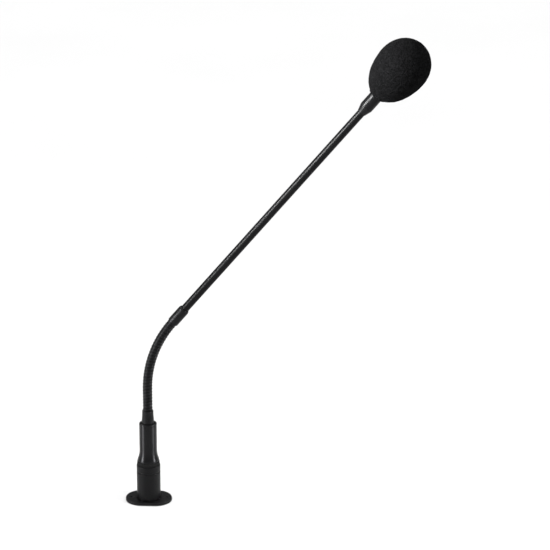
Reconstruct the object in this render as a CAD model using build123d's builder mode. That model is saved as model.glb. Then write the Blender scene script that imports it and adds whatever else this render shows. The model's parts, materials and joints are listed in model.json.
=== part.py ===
from build123d import *

import os
from math import cos, radians, sin, tan

# Gooseneck podium microphone, standing in its panel socket. Millimetres, +Z up.
#
# The origin is on the connector's axis, on the underside of the socket's flange, which is the
# face that lies on the panel. The socket's barrel hangs below it and the plug stands above it.
# The neck leans towards +X, and the release tab is on the +Y side.
#
# Nearly every piece is turned. Its outline is a list of (radius, height) corners in a plane
# through its axis: heights in the base are above the origin, and heights in the arm and the
# head are above the flexible neck's upper end, along the arm.

os.makedirs("parts", exist_ok=True)

# ---------------------------------------------------------------- driving dimensions

# Panel socket
flange_width = 37.0
flange_depth = 26.0
flange_thickness = 2.2
screw_spacing = 29.0
screw_radius = 1.5
screw_shank_radius = 1.7
screw_head_radius = 2.75
screw_length = 10.0
barrel_radius = 11.8
barrel_length = 24.0
socket_bore_radius = 9.5
socket_face = -1.2
socket_insert_radius = 7.9
insert_foot_top = -19.2
insert_foot_bottom = -22.0
contact_circle = 4.2
contact_radius = 1.48
contact_tail = -27.0
contact_tail_radius = 0.9
pin_radius = 1.2

# Release lever, a rocker on a cross pin inside the barrel's wall
lever_half_width = 2.4
lever_pin_y = 10.4
lever_pin_z = -5.0
lever_pin_radius = 0.5
lever_pin_half_length = 4.4
lever_slot_bottom = -14.5
lever_slot_width = 7.2
lever_slot_inner = 8.5
lever_slot_outer = 13.5
tab_slot_width = 5.6
tab_slot_inner = 7.7
tab_slot_outer = 12.7
tab_face = 12.4
grip_groove_height = 3.4
grip_groove_step = 0.8
grip_groove_radius = 0.22
clip_groove_width = 0.8
clip_groove_depth = 0.35

# Plug
nose_bottom = -18.5
nose_radius = 9.35
nose_bore_radius = 8.1
plug_shoulder = 2.6
plug_radius = 9.5
plug_top = 31.3
plug_neck_radius = 7.0
insert_bottom = -0.6
insert_top = 9.0
insert_screw_height = 5.0
insert_screw_radius = 1.2
insert_screw_bottom = 6.1
insert_screw_length = 3.2
pin_tip = -15.5
pin_tail = 13.0
keyway_top = -10.9
keyway_width = 5.8
groove_height = 25.0
groove_depth = 0.5
groove_flank = 0.3
groove_width = 1.3

# Collar above the plug, and the circuit board inside it
boot_radius = 9.0
collar_bottom = 34.7
collar_top = 67.3
collar_radius = 7.0
collar_foot_radius = 8.5
collar_bore_radius = 5.6
collar_spigot_bottom = 26.6
collar_shelf = 60.0
ferrule_bottom = 56.0
ferrule_radius = 5.0
ferrule_top_radius = 4.5
ferrule_spigot_radius = 4.0
board_width = 10.0
board_thickness = 1.0
board_centre_y = 0.4
board_bottom = 10.0
board_top = 52.0
chip_height = 34.0

# Flexible neck: a straight start, then one even bend towards +X
neck_start = 78.0
neck_radius = 3.9
neck_bore_radius = 1.8
neck_straight = 19.0
bend_radius = 90.0
bend_angle = 39.7
link_count = 10
ribs_per_link = 3
joint_gap_angle = 9.0
groove_root_radius = 2.9
cable_radius = 1.1

# Stiff arm and head, measured from the flexible neck's upper end
arm_ferrule_length = 15.0
arm_ferrule_radius = 4.4
tube_radius = 3.25
tube_bore_radius = 2.45
tube_bottom = 4.0
tube_top = 236.0
head_bottom = 230.5
housing_bottom = 237.5
housing_top = 264.0
housing_radius = 5.3
housing_bore_radius = 4.8
vent_bottom = 248.5
vent_length = 6.0
vent_width = 1.4
grommet_radius = 1.9
capsule_board_bottom = 252.6
capsule_board_top = 253.4
capsule_bottom = 255.5
capsule_top = 262.0
capsule_radius = 3.0
grille_hole_radius = 0.5
grille_hole_step = 1.6
foam_bottom = 247.0
foam_length = 55.5
foam_radius = 21.1
foam_widest = 32.5

slide_fit = 0.05
press_fit = 0.02

# ---------------------------------------------------------------- shared construction

bend_length = bend_radius * radians(bend_angle)
neck_length = neck_straight + bend_length
link_length = neck_length / link_count


def neck_plane(distance):
    """Plane across the neck at a distance above its lower end, with its y_dir along +Y."""
    turn = min(max(distance - neck_straight, 0), bend_length) / bend_radius
    x = bend_radius * (1 - cos(turn))
    z = neck_start + min(distance, neck_straight) + bend_radius * sin(turn)
    return Plane(origin=(x, 0, z), x_dir=(cos(turn), 0, -sin(turn)), z_dir=(sin(turn), 0, cos(turn)))


def outline(across, *corners):
    """Closed outline of (radius, height) corners, in the plane through the axis of across."""
    through_axis = Plane(origin=across.origin, x_dir=across.x_dir, z_dir=-across.y_dir)
    with BuildSketch(through_axis) as profile:
        with BuildLine():
            Polyline(*corners, close=True)
        make_face()
    return profile.sketch


def axis_of(across):
    return Axis(across.origin, across.z_dir)


def save(part, name):
    part.label = name
    export_step(part, f"parts/{name}.step")


base = Plane.XY
arm = neck_plane(neck_length)

# The space between two neighbouring links: a ring that is thinner towards the neck's axis,
# so that each link can tip about the point where the two cones meet.
gap_reach = 6.0
gap_rise = gap_reach * tan(radians(joint_gap_angle))
joint_gap = [(0, 0), (gap_reach, gap_rise), (gap_reach, -gap_rise)]

pin_places = PolarLocations(contact_circle, 3, start_angle=30)

# ---------------------------------------------------------------- panel socket

with BuildPart() as socket_housing:
    with BuildSketch():
        SlotOverall(flange_width, flange_depth)
    extrude(amount=flange_thickness)
    fillet(socket_housing.faces().sort_by(Axis.Z)[-1].edges(), radius=0.7)
    with BuildSketch():
        Circle(barrel_radius)
    extrude(amount=-barrel_length)
    with Locations(Plane.XY.offset(flange_thickness)):
        Hole(socket_bore_radius)
        with GridLocations(screw_spacing, 0, 2, 1):
            CounterSinkHole(
                screw_shank_radius + slide_fit, screw_head_radius + 0.15, counter_sink_angle=90
            )
    # a chamfered mouth that leads the plug in
    revolve(
        outline(
            base,
            (socket_bore_radius - 0.2, flange_thickness + 0.2),
            (socket_bore_radius + 0.6, flange_thickness + 0.2),
            (socket_bore_radius - 0.2, flange_thickness - 0.6),
        ),
        axis=Axis.Z,
        mode=Mode.SUBTRACT,
    )
    # the lever's slot in the barrel's wall, and the tab's slot in the flange
    with BuildSketch(Plane.XY.offset(lever_slot_bottom)):
        with Locations((0, (lever_slot_inner + lever_slot_outer) / 2)):
            Rectangle(lever_slot_width, lever_slot_outer - lever_slot_inner)
    extrude(amount=-lever_slot_bottom, mode=Mode.SUBTRACT)
    with BuildSketch():
        with Locations((0, (tab_slot_inner + tab_slot_outer) / 2)):
            Rectangle(tab_slot_width, tab_slot_outer - tab_slot_inner)
    extrude(amount=flange_thickness, mode=Mode.SUBTRACT)
    # a clip groove round the barrel, just below the lever's slot
    with BuildSketch(Plane.XY.offset(lever_slot_bottom)):
        Circle(barrel_radius + 1)
        Circle(barrel_radius - clip_groove_depth, mode=Mode.SUBTRACT)
    extrude(amount=-clip_groove_width, mode=Mode.SUBTRACT)
    # the cross hole of the lever's pin
    with BuildSketch(Plane.YZ):
        with Locations((lever_pin_y, lever_pin_z)):
            Circle(lever_pin_radius + press_fit)
    extrude(amount=lever_pin_half_length + slide_fit, both=True, mode=Mode.SUBTRACT)
save(socket_housing.part, "socket_housing")

screw_head_top = flange_thickness - 0.1
screw_head_bottom = screw_head_top - (screw_head_radius - screw_shank_radius)
screw_shank_bottom = -0.3
screw_point_length = 1.5
with BuildPart() as flange_screws:
    for x in (-screw_spacing / 2, screw_spacing / 2):
        spot = Plane(origin=(x, 0, 0))
        revolve(
            outline(
                spot,
                (0, -screw_length),
                (screw_radius, screw_point_length - screw_length),
                (screw_radius, screw_shank_bottom),
                (screw_shank_radius, screw_shank_bottom),
                (screw_shank_radius, screw_head_bottom),
                (screw_head_radius, screw_head_top),
                (0, screw_head_top),
            ),
            axis=axis_of(spot),
        )
    # cross recesses
    with BuildSketch(Plane.XY.offset(screw_head_top)):
        with GridLocations(screw_spacing, 0, 2, 1):
            Rectangle(3.0, 0.6)
            Rectangle(0.6, 3.0)
    extrude(amount=-0.8, mode=Mode.SUBTRACT)
save(flange_screws.part, "flange_screws")

with BuildPart() as socket_insert:
    revolve(
        outline(
            base,
            (0, insert_foot_bottom),
            (socket_bore_radius - slide_fit, insert_foot_bottom),
            (socket_bore_radius - slide_fit, insert_foot_top),
            (socket_insert_radius, insert_foot_top),
            (socket_insert_radius, socket_face - 0.6),
            (socket_insert_radius - 0.6, socket_face),
            (0, socket_face),
        ),
        axis=Axis.Z,
    )
    with BuildSketch(Plane.XY.offset(socket_face)):
        with PolarLocations(contact_circle, 3, start_angle=30):
            Circle(contact_radius + press_fit)
    extrude(amount=insert_foot_bottom - socket_face, mode=Mode.SUBTRACT)
save(socket_insert.part, "socket_insert")

sleeve_top = -2.4
sleeve_bottom = -17.0
solder_cup_depth = 3.0
for number, place in enumerate(pin_places.locations, start=1):
    spot = Plane(origin=(place.position.X, place.position.Y, 0))
    with BuildPart() as socket_contact:
        revolve(
            outline(
                spot,
                (0, contact_tail),
                (contact_tail_radius, contact_tail),
                (contact_tail_radius, insert_foot_bottom),
                (contact_radius, insert_foot_bottom),
                (contact_radius, sleeve_top),
                (pin_radius + slide_fit, sleeve_top),
                (pin_radius + slide_fit, sleeve_bottom),
                (0, sleeve_bottom),
            ),
            axis=axis_of(spot),
        )
        # the solder cup's open side
        with BuildSketch(spot.offset(contact_tail)):
            with Locations((0, 0.7)):
                Rectangle(2.0, 0.8)
        extrude(amount=solder_cup_depth, mode=Mode.SUBTRACT)
    save(socket_contact.part, f"socket_contact_{number}")

ring_width = 1.4
ring_thickness = 1.0
ring_gap = 4.0
with BuildPart() as retaining_ring:
    with BuildSketch(Plane.XY.offset(insert_foot_bottom)):
        Circle(socket_bore_radius - press_fit)
        Circle(socket_bore_radius - ring_width, mode=Mode.SUBTRACT)
        with Locations((0, -socket_bore_radius)):
            Rectangle(ring_gap, 3 * ring_width, mode=Mode.SUBTRACT)
    extrude(amount=-ring_thickness)
save(retaining_ring.part, "retaining_ring")

tag_bottom = -28.0
tag_width = 2.6
tag_setback = 6.5
tag_thickness = 0.5
with BuildPart() as ground_tag:
    with BuildSketch(Plane.XZ.offset(tag_setback)):
        with Locations((0, tag_bottom)):
            Rectangle(tag_width, insert_foot_bottom - tag_bottom, align=(Align.CENTER, Align.MIN))
        with Locations((0, tag_bottom + 1.6)):
            Circle(0.6, mode=Mode.SUBTRACT)
    extrude(amount=tag_thickness)
save(ground_tag.part, "ground_tag")

# ---------------------------------------------------------------- release lever

with BuildPart() as lever_pin:
    with BuildSketch(Plane.YZ):
        with Locations((lever_pin_y, lever_pin_z)):
            Circle(lever_pin_radius)
    extrude(amount=lever_pin_half_length, both=True)
save(lever_pin.part, "lever_pin")

with BuildPart() as release_lever:
    with BuildSketch(Plane.YZ):
        with BuildLine():
            Polyline(
                (8.9, -13.2),
                (10.5, -13.2),
                (11.2, -5.0),
                (11.45, -0.3),
                (tab_face, 0.6),
                (tab_face, 5.2),
                (11.4, 5.2),
                (11.4, 1.4),
                (10.4, -0.2),
                (9.75, -4.0),
                (9.75, -11.2),
                (9.2, -11.4),
                close=True,
            )
        make_face()
        with Locations((lever_pin_y, lever_pin_z)):
            Circle(lever_pin_radius + slide_fit, mode=Mode.SUBTRACT)
    extrude(amount=lever_half_width, both=True)
    # a rounded thumb edge, and grip grooves across the tab's outer face
    fillet(release_lever.edges().filter_by(Axis.X).group_by(Axis.Z)[-1], radius=0.35)
    with BuildSketch(Plane.YZ):
        with Locations((tab_face, grip_groove_height)):
            with GridLocations(0, grip_groove_step, 1, 3):
                Circle(grip_groove_radius)
    extrude(amount=lever_half_width, both=True, mode=Mode.SUBTRACT)
save(release_lever.part, "release_lever")

spring_wire_radius = 0.16
spring_radius = 0.76
spring_pitch = 0.38
spring_turns = 2
with BuildPart() as lever_spring:
    with BuildLine() as coil:
        Helix(
            pitch=spring_pitch,
            height=spring_turns * spring_pitch,
            radius=spring_radius,
            center=(lever_half_width + 0.22, lever_pin_y, lever_pin_z),
            direction=(1, 0, 0),
        )
    with BuildSketch(Plane(origin=coil.line @ 0, z_dir=coil.line % 0)):
        Circle(spring_wire_radius)
    sweep(is_frenet=True)
save(lever_spring.part, "lever_spring")

# ---------------------------------------------------------------- plug

with BuildPart() as plug_shell:
    revolve(
        outline(
            base,
            (nose_bore_radius, nose_bottom),
            (nose_radius - 0.4, nose_bottom),
            (nose_radius, nose_bottom + 0.4),
            (nose_radius, plug_shoulder),
            (plug_radius - 0.1, plug_shoulder),
            (plug_radius, plug_shoulder + 0.3),
            (plug_radius, groove_height),
            (plug_radius - groove_depth, groove_height + groove_flank),
            (plug_radius - groove_depth, groove_height + groove_width - groove_flank),
            (plug_radius, groove_height + groove_width),
            (plug_radius, plug_top - 0.7),
            (plug_radius - 0.7, plug_top),
            (plug_neck_radius, plug_top),
            (plug_neck_radius, groove_height + 1.5),
            (nose_bore_radius, groove_height + 0.4),
        ),
        axis=Axis.Z,
    )
    # the keyway that the lever's nose runs in, open at the plug's end
    with BuildSketch(Plane.XY.offset(nose_bottom)):
        with Locations((0, 9)):
            Rectangle(keyway_width, 4)
    extrude(amount=keyway_top - nose_bottom, mode=Mode.SUBTRACT)
    # the insert's screw hole
    with BuildSketch(Plane.XZ):
        with Locations((0, insert_screw_height)):
            Circle(insert_screw_radius + slide_fit)
    extrude(amount=-plug_radius - 1, mode=Mode.SUBTRACT)
save(plug_shell.part, "plug_shell")

with BuildPart() as pin_insert:
    with BuildSketch(Plane.XY.offset(insert_bottom)):
        Circle(nose_bore_radius - slide_fit)
        with PolarLocations(contact_circle, 3, start_angle=30):
            Circle(pin_radius + press_fit, mode=Mode.SUBTRACT)
    extrude(amount=insert_top - insert_bottom)
    with BuildSketch(Plane.XZ.offset(slide_fit - insert_screw_bottom)):
        with Locations((0, insert_screw_height)):
            Circle(insert_screw_radius + press_fit)
    extrude(amount=-nose_bore_radius, mode=Mode.SUBTRACT)
save(pin_insert.part, "pin_insert")

with BuildPart() as insert_screw:
    with BuildSketch(Plane.XZ.offset(-insert_screw_bottom)):
        with Locations((0, insert_screw_height)):
            Circle(insert_screw_radius)
    extrude(amount=-insert_screw_length)
    # its hexagon socket
    with BuildSketch(Plane.XZ.offset(-insert_screw_bottom - insert_screw_length)):
        with Locations((0, insert_screw_height)):
            RegularPolygon(0.65, 6)
    extrude(amount=1.2, mode=Mode.SUBTRACT)
save(insert_screw.part, "insert_screw")

pin_cup_radius = 0.75
pin_cup_depth = 2.5
for number, place in enumerate(pin_places.locations, start=1):
    spot = Plane(origin=(place.position.X, place.position.Y, 0))
    with BuildPart() as plug_pin:
        revolve(
            outline(
                spot,
                (0, pin_tip),
                (0.5, pin_tip),
                (pin_radius, pin_tip + 1.2),
                (pin_radius, pin_tail),
                (pin_cup_radius, pin_tail),
                (pin_cup_radius, pin_tail - pin_cup_depth),
                (0, pin_tail - pin_cup_depth),
            ),
            axis=axis_of(spot),
        )
    save(plug_pin.part, f"plug_pin_{number}")

with BuildPart() as boot_ring:
    revolve(
        outline(
            base,
            (plug_neck_radius, plug_top),
            (boot_radius - 0.3, plug_top),
            (boot_radius, plug_top + 0.5),
            (boot_radius, collar_bottom - 0.7),
            (boot_radius - 0.5, collar_bottom),
            (plug_neck_radius, collar_bottom),
        ),
        axis=Axis.Z,
    )
save(boot_ring.part, "boot_ring")

with BuildPart() as base_collar:
    with BuildSketch(Plane.XZ):
        with BuildLine():
            flare_top = (collar_radius, 44.0)
            flare_bottom = (collar_foot_radius, 36.2)
            TangentArc(flare_top, flare_bottom, tangent=(0, -1))
            Polyline(
                flare_bottom,
                (collar_foot_radius, collar_bottom + 0.3),
                (collar_foot_radius - 0.3, collar_bottom),
                (plug_neck_radius - slide_fit, collar_bottom),
                (plug_neck_radius - slide_fit, collar_spigot_bottom),
                (collar_bore_radius, collar_spigot_bottom),
                (collar_bore_radius, collar_shelf),
                (ferrule_spigot_radius + slide_fit, collar_shelf),
                (ferrule_spigot_radius + slide_fit, collar_top),
                (collar_radius - 0.8, collar_top),
                (collar_radius, collar_top - 0.9),
                flare_top,
            )
        make_face()
    revolve(axis=Axis.Z)
save(base_collar.part, "base_collar")

with BuildPart() as neck_ferrule:
    revolve(
        outline(
            base,
            (neck_bore_radius, ferrule_bottom),
            (ferrule_spigot_radius, ferrule_bottom),
            (ferrule_spigot_radius, collar_top),
            (ferrule_radius, collar_top),
            (ferrule_radius, collar_top + 1.2),
            (ferrule_top_radius, neck_start - 3.0),
            (ferrule_top_radius, neck_start),
            (neck_bore_radius, neck_start),
        ),
        axis=Axis.Z,
    )
    revolve(outline(neck_plane(0), *joint_gap), axis=Axis.Z, mode=Mode.SUBTRACT)
save(neck_ferrule.part, "neck_ferrule")

nut_thickness = 2.8
with BuildPart() as ferrule_nut:
    with BuildSketch(Plane.XY.offset(collar_shelf)):
        RegularPolygon(collar_bore_radius - 0.2, 6)
        Circle(ferrule_spigot_radius + press_fit, mode=Mode.SUBTRACT)
    extrude(amount=-nut_thickness)
save(ferrule_nut.part, "ferrule_nut")

# ---------------------------------------------------------------- circuit in the collar

board_front = board_centre_y - board_thickness / 2
board_back = board_centre_y + board_thickness / 2
with BuildPart() as preamp_board:
    with BuildSketch(Plane.XZ.offset(-board_back)):
        with Locations((0, (board_bottom + board_top) / 2)):
            RectangleRounded(board_width, board_top - board_bottom, 1.0)
    extrude(amount=board_thickness)
save(preamp_board.part, "preamp_board")

for number, height in enumerate((39.0, 44.5), start=1):
    with BuildPart() as capacitor:
        with BuildSketch(Plane.XZ.offset(-board_back)):
            with Locations((0, height)):
                Circle(2.0)
        extrude(amount=-4.0)
        fillet(capacitor.faces().sort_by(Axis.Y)[-1].edges(), radius=0.3)
    save(capacitor.part, f"capacitor_{number}")

with BuildPart() as amplifier_chip:
    with BuildSketch(Plane.XZ.offset(-board_front)):
        with Locations((0, chip_height)):
            Rectangle(4.0, 5.0)
    extrude(amount=1.6)
    # its eight legs
    with BuildSketch(Plane.XZ.offset(-board_front)):
        with Locations((0, chip_height)):
            with GridLocations(5.6, 1.27, 2, 4):
                Rectangle(1.6, 0.45)
    extrude(amount=0.3)
save(amplifier_chip.part, "amplifier_chip")

with BuildPart() as chip_resistors:
    with BuildSketch(Plane.XZ.offset(-board_front)):
        with Locations((0, chip_height + 12), (0, chip_height - 12)):
            with GridLocations(3.4, 2.4, 2, 2):
                Rectangle(2.0, 1.25)
    extrude(amount=0.6)
save(chip_resistors.part, "chip_resistors")

with BuildPart() as base_cable:
    with BuildSketch(Plane.XY.offset(board_top)):
        Circle(cable_radius)
    extrude(amount=neck_start - board_top)
save(base_cable.part, "base_cable")

# ---------------------------------------------------------------- flexible neck

for number in range(1, link_count + 1):
    lower = neck_plane((number - 1) * link_length)
    upper = neck_plane(number * link_length)
    chord = upper.origin - lower.origin
    link_plane = Plane(origin=lower.origin, x_dir=lower.x_dir, z_dir=chord)
    with BuildPart() as neck_link:
        with BuildSketch(link_plane):
            Circle(neck_radius)
            Circle(neck_bore_radius, mode=Mode.SUBTRACT)
        extrude(amount=chord.length)
        for end in (lower, upper):
            revolve(outline(end, *joint_gap), axis=axis_of(end), mode=Mode.SUBTRACT)
        # grooves between the ribs, as wide at the surface as the gaps between the links
        groove_mouth = neck_radius * tan(radians(joint_gap_angle))
        for rib in range(1, ribs_per_link):
            height = chord.length * rib / ribs_per_link
            groove = outline(
                link_plane,
                (groove_root_radius, height),
                (neck_radius, height + groove_mouth),
                (neck_radius + 1, height + groove_mouth),
                (neck_radius + 1, height - groove_mouth),
                (neck_radius, height - groove_mouth),
            )
            revolve(groove, axis=axis_of(link_plane), mode=Mode.SUBTRACT)
    save(neck_link.part, f"neck_link_{number:02d}")

with BuildPart() as neck_cable:
    with BuildLine() as cable_route:
        straight = Line((0, 0, neck_start), (0, 0, neck_start + neck_straight))
        TangentArc(straight @ 1, arm.origin, tangent=(0, 0, 1))
    with BuildSketch(Plane.XY.offset(neck_start)):
        Circle(cable_radius)
    sweep()
save(neck_cable.part, "neck_cable")

# ---------------------------------------------------------------- stiff arm

with BuildPart() as arm_ferrule:
    revolve(
        outline(
            arm,
            (neck_bore_radius, 0),
            (arm_ferrule_radius, 0),
            (arm_ferrule_radius, arm_ferrule_length - 1.2),
            (tube_radius + 0.5, arm_ferrule_length),
            (tube_radius + press_fit, arm_ferrule_length),
            (tube_radius + press_fit, tube_bottom),
            (neck_bore_radius, tube_bottom),
        ),
        axis=axis_of(arm),
    )
    revolve(outline(arm, *joint_gap), axis=axis_of(arm), mode=Mode.SUBTRACT)
save(arm_ferrule.part, "arm_ferrule")

with BuildPart() as arm_tube:
    with BuildSketch(arm.offset(tube_bottom)):
        Circle(tube_radius)
        Circle(tube_bore_radius, mode=Mode.SUBTRACT)
    extrude(amount=tube_top - tube_bottom)
save(arm_tube.part, "arm_tube")

with BuildPart() as arm_cable:
    with BuildSketch(arm):
        Circle(cable_radius)
    extrude(amount=capsule_board_bottom)
save(arm_cable.part, "arm_cable")

# ---------------------------------------------------------------- head

with BuildPart() as head_collar:
    revolve(
        outline(
            arm,
            (tube_radius + press_fit, head_bottom),
            (tube_radius + 0.45, head_bottom),
            (tube_radius + 0.6, head_bottom + 1.0),
            (housing_radius, housing_bottom - 1.5),
            (housing_radius, housing_bottom),
            (housing_bore_radius - press_fit, housing_bottom),
            (housing_bore_radius - press_fit, housing_bottom + 3),
            (tube_radius + 0.75, housing_bottom + 3),
            (tube_radius + 0.75, tube_top + 1),
            (grommet_radius, tube_top + 1),
            (grommet_radius, tube_top),
            (tube_radius + press_fit, tube_top),
        ),
        axis=axis_of(arm),
    )
save(head_collar.part, "head_collar")

with BuildPart() as cable_grommet:
    revolve(
        outline(
            arm,
            (cable_radius + press_fit, tube_top),
            (grommet_radius - press_fit, tube_top),
            (grommet_radius - press_fit, tube_top + 1),
            (grommet_radius + 0.8, tube_top + 1),
            (grommet_radius + 0.8, tube_top + 1.8),
            (cable_radius + press_fit, tube_top + 1.8),
        ),
        axis=axis_of(arm),
    )
save(cable_grommet.part, "cable_grommet")

with BuildPart() as capsule_housing:
    with BuildSketch(arm.offset(housing_bottom)):
        Circle(housing_radius)
        Circle(housing_bore_radius, mode=Mode.SUBTRACT)
    extrude(amount=housing_top - housing_bottom)
    # rear vents, eight slots right through the wall, along the arm
    vent_middle = arm.offset(vent_bottom + vent_length / 2).origin
    for turn in range(0, 180, 45):
        outward = cos(radians(turn)) * arm.x_dir + sin(radians(turn)) * arm.y_dir
        with BuildSketch(Plane(origin=vent_middle, x_dir=arm.z_dir, z_dir=outward)):
            SlotOverall(vent_length, vent_width)
        extrude(amount=housing_radius + 1, both=True, mode=Mode.SUBTRACT)
save(capsule_housing.part, "capsule_housing")

with BuildPart() as capsule_boot:
    revolve(
        outline(
            arm,
            (2.2, capsule_bottom - 1.0),
            (housing_bore_radius - press_fit, capsule_bottom - 1.0),
            (housing_bore_radius - press_fit, capsule_top),
            (capsule_radius + press_fit, capsule_top),
            (capsule_radius + press_fit, capsule_bottom),
            (2.2, capsule_bottom),
        ),
        axis=axis_of(arm),
    )
save(capsule_boot.part, "capsule_boot")

with BuildPart() as electret_capsule:
    revolve(
        outline(
            arm,
            (0, capsule_bottom),
            (capsule_radius, capsule_bottom),
            (capsule_radius, capsule_top - 0.3),
            (capsule_radius - 0.3, capsule_top),
            (1.0, capsule_top),
            (1.0, capsule_top - 0.6),
            (0, capsule_top - 0.6),
        ),
        axis=axis_of(arm),
    )
    # two leads down to the small board
    with BuildSketch(arm.offset(capsule_board_top)):
        with GridLocations(2.6, 0, 2, 1):
            Circle(0.35)
    extrude(amount=capsule_bottom - capsule_board_top)
save(electret_capsule.part, "electret_capsule")

with BuildPart() as capsule_board:
    with BuildSketch(arm.offset(capsule_board_bottom)):
        Circle(housing_bore_radius - slide_fit)
        with PolarLocations(housing_bore_radius, 2):
            Circle(0.8, mode=Mode.SUBTRACT)
    extrude(amount=capsule_board_top - capsule_board_bottom)
save(capsule_board.part, "capsule_board")

with BuildPart() as front_grille:
    revolve(
        outline(
            arm,
            (0, housing_top),
            (housing_bore_radius - 0.5, housing_top),
            (housing_bore_radius - 0.5, housing_top - 1.6),
            (housing_bore_radius - press_fit, housing_top - 1.6),
            (housing_bore_radius - press_fit, housing_top),
            (housing_radius, housing_top),
            (housing_radius, housing_top + 0.6),
            (housing_radius - 0.6, housing_top + 1.2),
            (0, housing_top + 1.2),
        ),
        axis=axis_of(arm),
    )
    with BuildSketch(arm.offset(housing_top)):
        Circle(grille_hole_radius)
        for ring in (1, 2):
            with PolarLocations(grille_hole_step * ring, 6 * ring):
                Circle(grille_hole_radius)
    extrude(amount=1.2, mode=Mode.SUBTRACT)
save(front_grille.part, "front_grille")

# ---------------------------------------------------------------- foam windscreen

foam_top = foam_bottom + foam_length
foam_middle = foam_bottom + foam_widest
foam_bore_radius = housing_radius + slide_fit
foam_bore_top = housing_top + 1.8
quarter_bulge = 0.5523  # the Bezier handle's share of the radius in a quarter ellipse
with BuildPart() as foam_windscreen:
    through_axis = Plane(origin=arm.origin, x_dir=arm.x_dir, z_dir=-arm.y_dir)
    with BuildSketch(through_axis):
        with BuildLine():
            # two quarter ellipses that meet at the widest place
            for pole in (foam_top, foam_bottom):
                Bezier(
                    (0, pole),
                    (foam_radius * quarter_bulge, pole),
                    (foam_radius, foam_middle + (pole - foam_middle) * quarter_bulge),
                    (foam_radius, foam_middle),
                )
            Line((0, foam_bottom), (0, foam_top))
        make_face()
    revolve(axis=axis_of(arm))
    with BuildSketch(arm.offset(foam_bottom - 1)):
        Circle(foam_bore_radius)
    extrude(amount=foam_bore_top - foam_bottom + 1, mode=Mode.SUBTRACT)
save(foam_windscreen.part, "foam_windscreen")
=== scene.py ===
"""Looks of the gooseneck podium microphone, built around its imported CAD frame.

Metres, +Z up. The connector's axis is the Z axis, the flange lies on the floor at z = 0, and the
neck leans towards +X. Turned pieces are outlines of (radius, height) about an axis, as in the CAD:
heights in the base are above the flange's underside, and heights in the arm and the head are above
the flexible neck's upper end, along the arm.
"""

import json
import math
from itertools import product

import bpy
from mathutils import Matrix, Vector, noise


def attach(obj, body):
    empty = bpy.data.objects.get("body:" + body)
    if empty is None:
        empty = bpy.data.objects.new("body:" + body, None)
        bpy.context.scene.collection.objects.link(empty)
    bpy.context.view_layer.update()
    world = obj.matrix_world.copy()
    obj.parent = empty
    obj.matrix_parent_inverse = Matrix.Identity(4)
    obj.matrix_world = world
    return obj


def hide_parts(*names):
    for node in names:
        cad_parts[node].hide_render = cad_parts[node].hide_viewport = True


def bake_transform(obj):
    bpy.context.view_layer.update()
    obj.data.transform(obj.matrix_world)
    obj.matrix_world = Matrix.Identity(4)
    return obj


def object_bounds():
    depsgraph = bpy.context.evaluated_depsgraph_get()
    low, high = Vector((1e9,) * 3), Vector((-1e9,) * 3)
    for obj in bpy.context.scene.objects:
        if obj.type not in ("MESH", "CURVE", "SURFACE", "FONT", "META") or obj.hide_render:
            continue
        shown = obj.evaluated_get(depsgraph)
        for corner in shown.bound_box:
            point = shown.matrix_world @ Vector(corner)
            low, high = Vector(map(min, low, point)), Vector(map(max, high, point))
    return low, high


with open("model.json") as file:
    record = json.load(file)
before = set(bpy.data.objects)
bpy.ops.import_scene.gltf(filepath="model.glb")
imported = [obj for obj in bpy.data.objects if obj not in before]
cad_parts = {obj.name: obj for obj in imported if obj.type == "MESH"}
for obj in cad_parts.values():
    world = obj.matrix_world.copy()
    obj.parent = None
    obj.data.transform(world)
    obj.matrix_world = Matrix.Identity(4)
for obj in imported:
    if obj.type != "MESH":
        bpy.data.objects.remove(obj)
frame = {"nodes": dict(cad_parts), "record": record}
cad_low, cad_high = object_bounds()
nodes = frame["nodes"]

MM = 0.001

# ---------------------------------------------------------------- sizes, as in the CAD

# Plug
NOSE_BOTTOM = -18.5 * MM
NOSE_RADIUS = 9.35 * MM
NOSE_BORE_RADIUS = 8.1 * MM
PLUG_SHOULDER = 2.6 * MM
PLUG_RADIUS = 9.5 * MM
PLUG_TOP = 31.3 * MM
PLUG_NECK_RADIUS = 7.0 * MM
INSERT_SCREW_HEIGHT = 5.0 * MM
INSERT_SCREW_RADIUS = 1.2 * MM
KEYWAY_TOP = -10.9 * MM
KEYWAY_WIDTH = 5.8 * MM
GROOVE_HEIGHT = 25.0 * MM
GROOVE_DEPTH = 0.5 * MM
GROOVE_FLANK = 0.3 * MM
GROOVE_WIDTH = 1.3 * MM

# Collar above the plug, and its ferrule
BOOT_RADIUS = 9.0 * MM
COLLAR_BOTTOM = 34.7 * MM
COLLAR_TOP = 67.3 * MM
COLLAR_RADIUS = 7.0 * MM
COLLAR_FOOT_RADIUS = 8.5 * MM
COLLAR_BORE_RADIUS = 5.6 * MM
COLLAR_SPIGOT_BOTTOM = 26.6 * MM
COLLAR_SHELF = 60.0 * MM
FLARE_TOP = 44.0 * MM
FLARE_BOTTOM = 36.2 * MM
FERRULE_BOTTOM = 56.0 * MM
FERRULE_RADIUS = 5.0 * MM
FERRULE_TOP_RADIUS = 4.5 * MM
FERRULE_SPIGOT_RADIUS = 4.0 * MM

# Flexible neck: a straight start, then one even bend towards +X
NECK_START = 78.0 * MM
NECK_RADIUS = 3.9 * MM
NECK_BORE_RADIUS = 1.8 * MM
NECK_STRAIGHT = 19.0 * MM
BEND_RADIUS = 90.0 * MM
BEND_ANGLE = math.radians(39.7)
BEND_LENGTH = BEND_RADIUS * BEND_ANGLE
NECK_LENGTH = NECK_STRAIGHT + BEND_LENGTH
LINK_COUNT = 10
LINK_LENGTH = NECK_LENGTH / LINK_COUNT
CABLE_RADIUS = 1.1 * MM

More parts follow.
